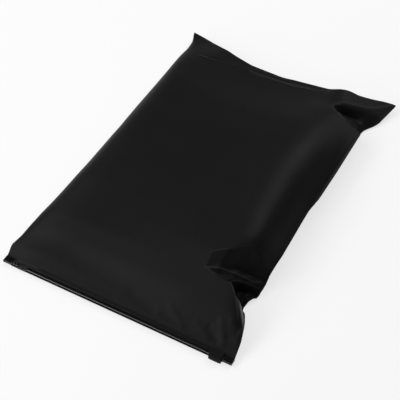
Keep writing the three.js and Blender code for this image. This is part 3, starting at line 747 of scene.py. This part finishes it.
def zip_flange(name, low, high):
    """The thin web behind a head, which runs into the mouth between the film's lips."""
    bm = bmesh.new()
    bmesh.ops.create_cube(bm, size=1)
    size = (2 * FLANGE_HALF * MM, (FLANGE_END - FLANGE_FROM) * MM, (high - low) * MM)
    bmesh.ops.scale(bm, vec=size, verts=bm.verts)
    middle = zip_place(0, (FLANGE_FROM + FLANGE_END) / 2, (low + high) / 2)
    bmesh.ops.translate(bm, vec=middle, verts=bm.verts)
    width = FLANGE_BEVEL * MM
    bmesh.ops.bevel(bm, geom=bm.edges, offset=width, segments=2, profile=0.5, affect="EDGES", material=-1)
    shade(bm, STRIP_SHARP)
    return new_piece(name, bm)


def zip_place(x, u, z):
    return Vector((x, u - HALF_LENGTH, CLOSURE_HEIGHT + z)) * MM


def grain_group():
    """A shared group: a fine speckle, a broad drift and a bumpy normal, all in the object's own space."""
    group = bpy.data.node_groups.new("plastic_grain", "ShaderNodeTree")
    sockets = group.interface
    sockets.new_socket("Fine Scale", in_out="INPUT", socket_type="NodeSocketFloat")
    sockets.new_socket("Bump", in_out="INPUT", socket_type="NodeSocketFloat")
    sockets.new_socket("Speckle", in_out="OUTPUT", socket_type="NodeSocketFloat")
    sockets.new_socket("Drift", in_out="OUTPUT", socket_type="NodeSocketFloat")
    sockets.new_socket("Normal", in_out="OUTPUT", socket_type="NodeSocketVector")
    nodes = group.nodes
    links = group.links
    given = nodes.new("NodeGroupInput")
    result = nodes.new("NodeGroupOutput")
    space = nodes.new("ShaderNodeTexCoord")
    fine = nodes.new("ShaderNodeTexNoise")
    fine.inputs["Detail"].default_value = 3
    links.new(space.outputs["Object"], fine.inputs["Vector"])
    links.new(given.outputs["Fine Scale"], fine.inputs["Scale"])
    broad = nodes.new("ShaderNodeTexNoise")
    broad.inputs["Scale"].default_value = 22
    broad.inputs["Detail"].default_value = 2
    links.new(space.outputs["Object"], broad.inputs["Vector"])
    bump = nodes.new("ShaderNodeBump")
    bump.inputs["Distance"].default_value = 0.0002
    links.new(given.outputs["Bump"], bump.inputs["Strength"])
    links.new(fine.outputs["Fac"], bump.inputs["Height"])
    links.new(fine.outputs["Fac"], result.inputs["Speckle"])
    links.new(broad.outputs["Fac"], result.inputs["Drift"])
    links.new(bump.outputs["Normal"], result.inputs["Normal"])
    return group


def plastic_material(name, group, look):
    """A plastic with a speckled colour, a drifting roughness and a fine bump; the look gives its levels."""
    material = bpy.data.materials.new(name)
    material.use_nodes = True
    nodes = material.node_tree.nodes
    links = material.node_tree.links
    shader = nodes["Principled BSDF"]
    shader.inputs["Specular IOR Level"].default_value = look["specular"]
    grain = nodes.new("ShaderNodeGroup")
    grain.node_tree = group
    grain.inputs["Fine Scale"].default_value = look["scale"]
    grain.inputs["Bump"].default_value = look["bump"]
    colour = nodes.new("ShaderNodeMapRange")
    colour.inputs["To Min"].default_value = look["colour"] * 0.9
    colour.inputs["To Max"].default_value = look["colour"] * 1.1
    links.new(grain.outputs["Speckle"], colour.inputs["Value"])
    rough = nodes.new("ShaderNodeMapRange")
    rough.inputs["From Min"].default_value = 0.3
    rough.inputs["From Max"].default_value = 0.7
    rough.inputs["To Min"].default_value = look["roughness"] - look["spread"]
    rough.inputs["To Max"].default_value = look["roughness"] + look["spread"]
    links.new(grain.outputs["Drift"], rough.inputs["Value"])
    links.new(rough.outputs["Result"], shader.inputs["Roughness"])
    links.new(grain.outputs["Normal"], shader.inputs["Normal"])
    links.new(colour.outputs["Result"], shader.inputs["Base Color"])
    return material, colour.outputs["Result"]


def film_material(group):
    look = {"colour": 0.0095, "roughness": 0.43, "spread": 0.03, "specular": 0.05, "scale": 900, "bump": 0.12}
    material, level = plastic_material("matt_film", group, look)
    nodes = material.node_tree.nodes
    links = material.node_tree.links
    # Creases lighten the base colour: partly stress-whitened film, partly a painted highlight on fold edges,
    # crests and the film's lip
    crease = nodes.new("ShaderNodeAttribute")
    crease.attribute_name = "crease"
    whitened_and_lit = nodes.new("ShaderNodeMath")
    whitened_and_lit.operation = "MULTIPLY_ADD"
    whitened_and_lit.inputs[1].default_value = CREASE_WHITENING_AND_HIGHLIGHT
    links.new(crease.outputs["Fac"], whitened_and_lit.inputs[0])
    links.new(level, whitened_and_lit.inputs[2])
    links.new(whitened_and_lit.outputs[0], nodes["Principled BSDF"].inputs["Base Color"])
    return material


def strip_material(group):
    look = {"colour": 0.003, "roughness": 0.17, "spread": 0.03, "specular": 0.5, "scale": 500, "bump": 0.04}
    return plastic_material("glossy_strip", group, look)[0]


def lower_strip_material(group):
    look = {"colour": 0.006, "roughness": 0.5, "spread": 0.05, "specular": 0.01, "scale": 500, "bump": 0.08}
    return plastic_material("dull_strip", group, look)[0]


def flange_material(group):
    look = {"colour": 0.012, "roughness": 0.43, "spread": 0.04, "specular": 0.05, "scale": 700, "bump": 0.1}
    return plastic_material("matt_flange", group, look)[0]


def slider_material(group):
    look = {"colour": 0.006, "roughness": 0.45, "spread": 0.06, "specular": 0.06, "scale": 1400, "bump": 0.25}
    return plastic_material("moulded_slider", group, look)[0]


def floor_material():
    material = bpy.data.materials.new("pale_floor")
    material.use_nodes = True
    nodes = material.node_tree.nodes
    links = material.node_tree.links
    shader = nodes["Principled BSDF"]
    shader.inputs["Base Color"].default_value = (0.9, 0.9, 0.9, 1)
    shader.inputs["Roughness"].default_value = 0.9
    white = nodes.new("ShaderNodeEmission")
    white.inputs["Strength"].default_value = 1
    path = nodes.new("ShaderNodeLightPath")
    seen = nodes.new("ShaderNodeMath")
    seen.operation = "MAXIMUM"
    links.new(path.outputs["Is Camera Ray"], seen.inputs[0])
    links.new(path.outputs["Is Glossy Ray"], seen.inputs[1])
    through = nodes.new("ShaderNodeMath")
    through.operation = "MAXIMUM"
    links.new(seen.outputs[0], through.inputs[0])
    links.new(path.outputs["Is Transmission Ray"], through.inputs[1])
    share = nodes.new("ShaderNodeMath")
    share.operation = "MULTIPLY"
    share.inputs[1].default_value = FLOOR_WHITENESS
    links.new(through.outputs[0], share.inputs[0])
    blend = nodes.new("ShaderNodeMixShader")
    links.new(share.outputs[0], blend.inputs[0])
    links.new(shader.outputs[0], blend.inputs[1])
    links.new(white.outputs[0], blend.inputs[2])
    links.new(blend.outputs[0], nodes["Material Output"].inputs["Surface"])
    return material


def lay_floor():
    bm = bmesh.new()
    bmesh.ops.create_grid(bm, x_segments=1, y_segments=1, size=FLOOR_HALF)
    bmesh.ops.translate(bm, verts=bm.verts, vec=(0, 0, -FLOOR_DROP))
    floor = new_piece("floor", bm)
    floor.data.materials.append(floor_material())


def add_lamp(name, direction, size, radiance):
    """A soft box that faces the bag; its power gives the same radiance whatever its size."""
    data = bpy.data.lights.new(name, "AREA")
    data.shape = "RECTANGLE"
    data.size = size[0]
    data.size_y = size[1]
    data.energy = math.pi * size[0] * size[1] * radiance
    lamp = bpy.data.objects.new(name, data)
    towards = Vector(direction).normalized()
    lamp.location = towards * LAMP_DISTANCE
    lamp.rotation_euler = towards.to_track_quat("Z", "Y").to_euler()
    bpy.context.scene.collection.objects.link(lamp)


def bearing(turn, rise):
    """A direction, given as degrees round from +X and degrees above the floor."""
    turn = math.radians(turn)
    rise = math.radians(rise)
    return (math.cos(rise) * math.cos(turn), math.cos(rise) * math.sin(turn), math.sin(rise))


def light_studio():
    world = bpy.data.worlds.new("studio")
    bpy.context.scene.world = world
    world.use_nodes = True
    background = world.node_tree.nodes["Background"]
    background.inputs["Color"].default_value = (1, 1, 1, 1)
    background.inputs["Strength"].default_value = 0.02
    for lamp in LAMPS:
        add_lamp(lamp["name"], bearing(lamp["turn"], lamp["rise"]), lamp["size"], lamp["radiance"])


def place_camera():
    data = bpy.data.cameras.new("photo_camera")
    data.sensor_width = 36
    data.lens = 109.683
    camera = bpy.data.objects.new("photo_camera", data)
    camera.location = (0.4813, -0.8975, 1.1048)
    camera.rotation_euler = (math.radians(41.86), 0, math.radians(28.93))
    bpy.context.scene.collection.objects.link(camera)
    bpy.context.scene.camera = camera


def dress_film(group):
    film = bag_film()
    film.data.materials.append(film_material(group))
    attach(film, "bag")
    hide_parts("bag_body")


def dress_zip(group):
    upper = zip_strip("zip_upper_strip", upper_section)
    upper.data.materials.append(strip_material(group))
    lower = zip_strip("zip_lower_strip", lower_section)
    lower.data.materials.append(lower_strip_material(group))
    upper_flange = zip_flange("zip_upper_flange", MEET_GAP, WEB_FACE)
    lower_flange = zip_flange("zip_lower_flange", -WEB_FACE, -MEET_GAP)
    matt = flange_material(group)
    for flange in (upper_flange, lower_flange):
        flange.data.materials.append(matt)
    pairs = [(upper, "zip_rib_strip"), (upper_flange, "zip_rib_strip")]
    pairs += [(lower, "zip_groove_strip"), (lower_flange, "zip_groove_strip")]
    for strip, node in pairs:
        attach(strip, "bag")
        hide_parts(node)


def dress_slider(group):
    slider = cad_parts["slider"]
    slider.data.materials.clear()
    slider.data.materials.append(slider_material(group))


def main():
    bpy.context.scene.view_settings.view_transform = "Standard"
    place_camera()
    light_studio()
    lay_floor()
    group = grain_group()
    dress_film(group)
    dress_zip(group)
    dress_slider(group)


main()
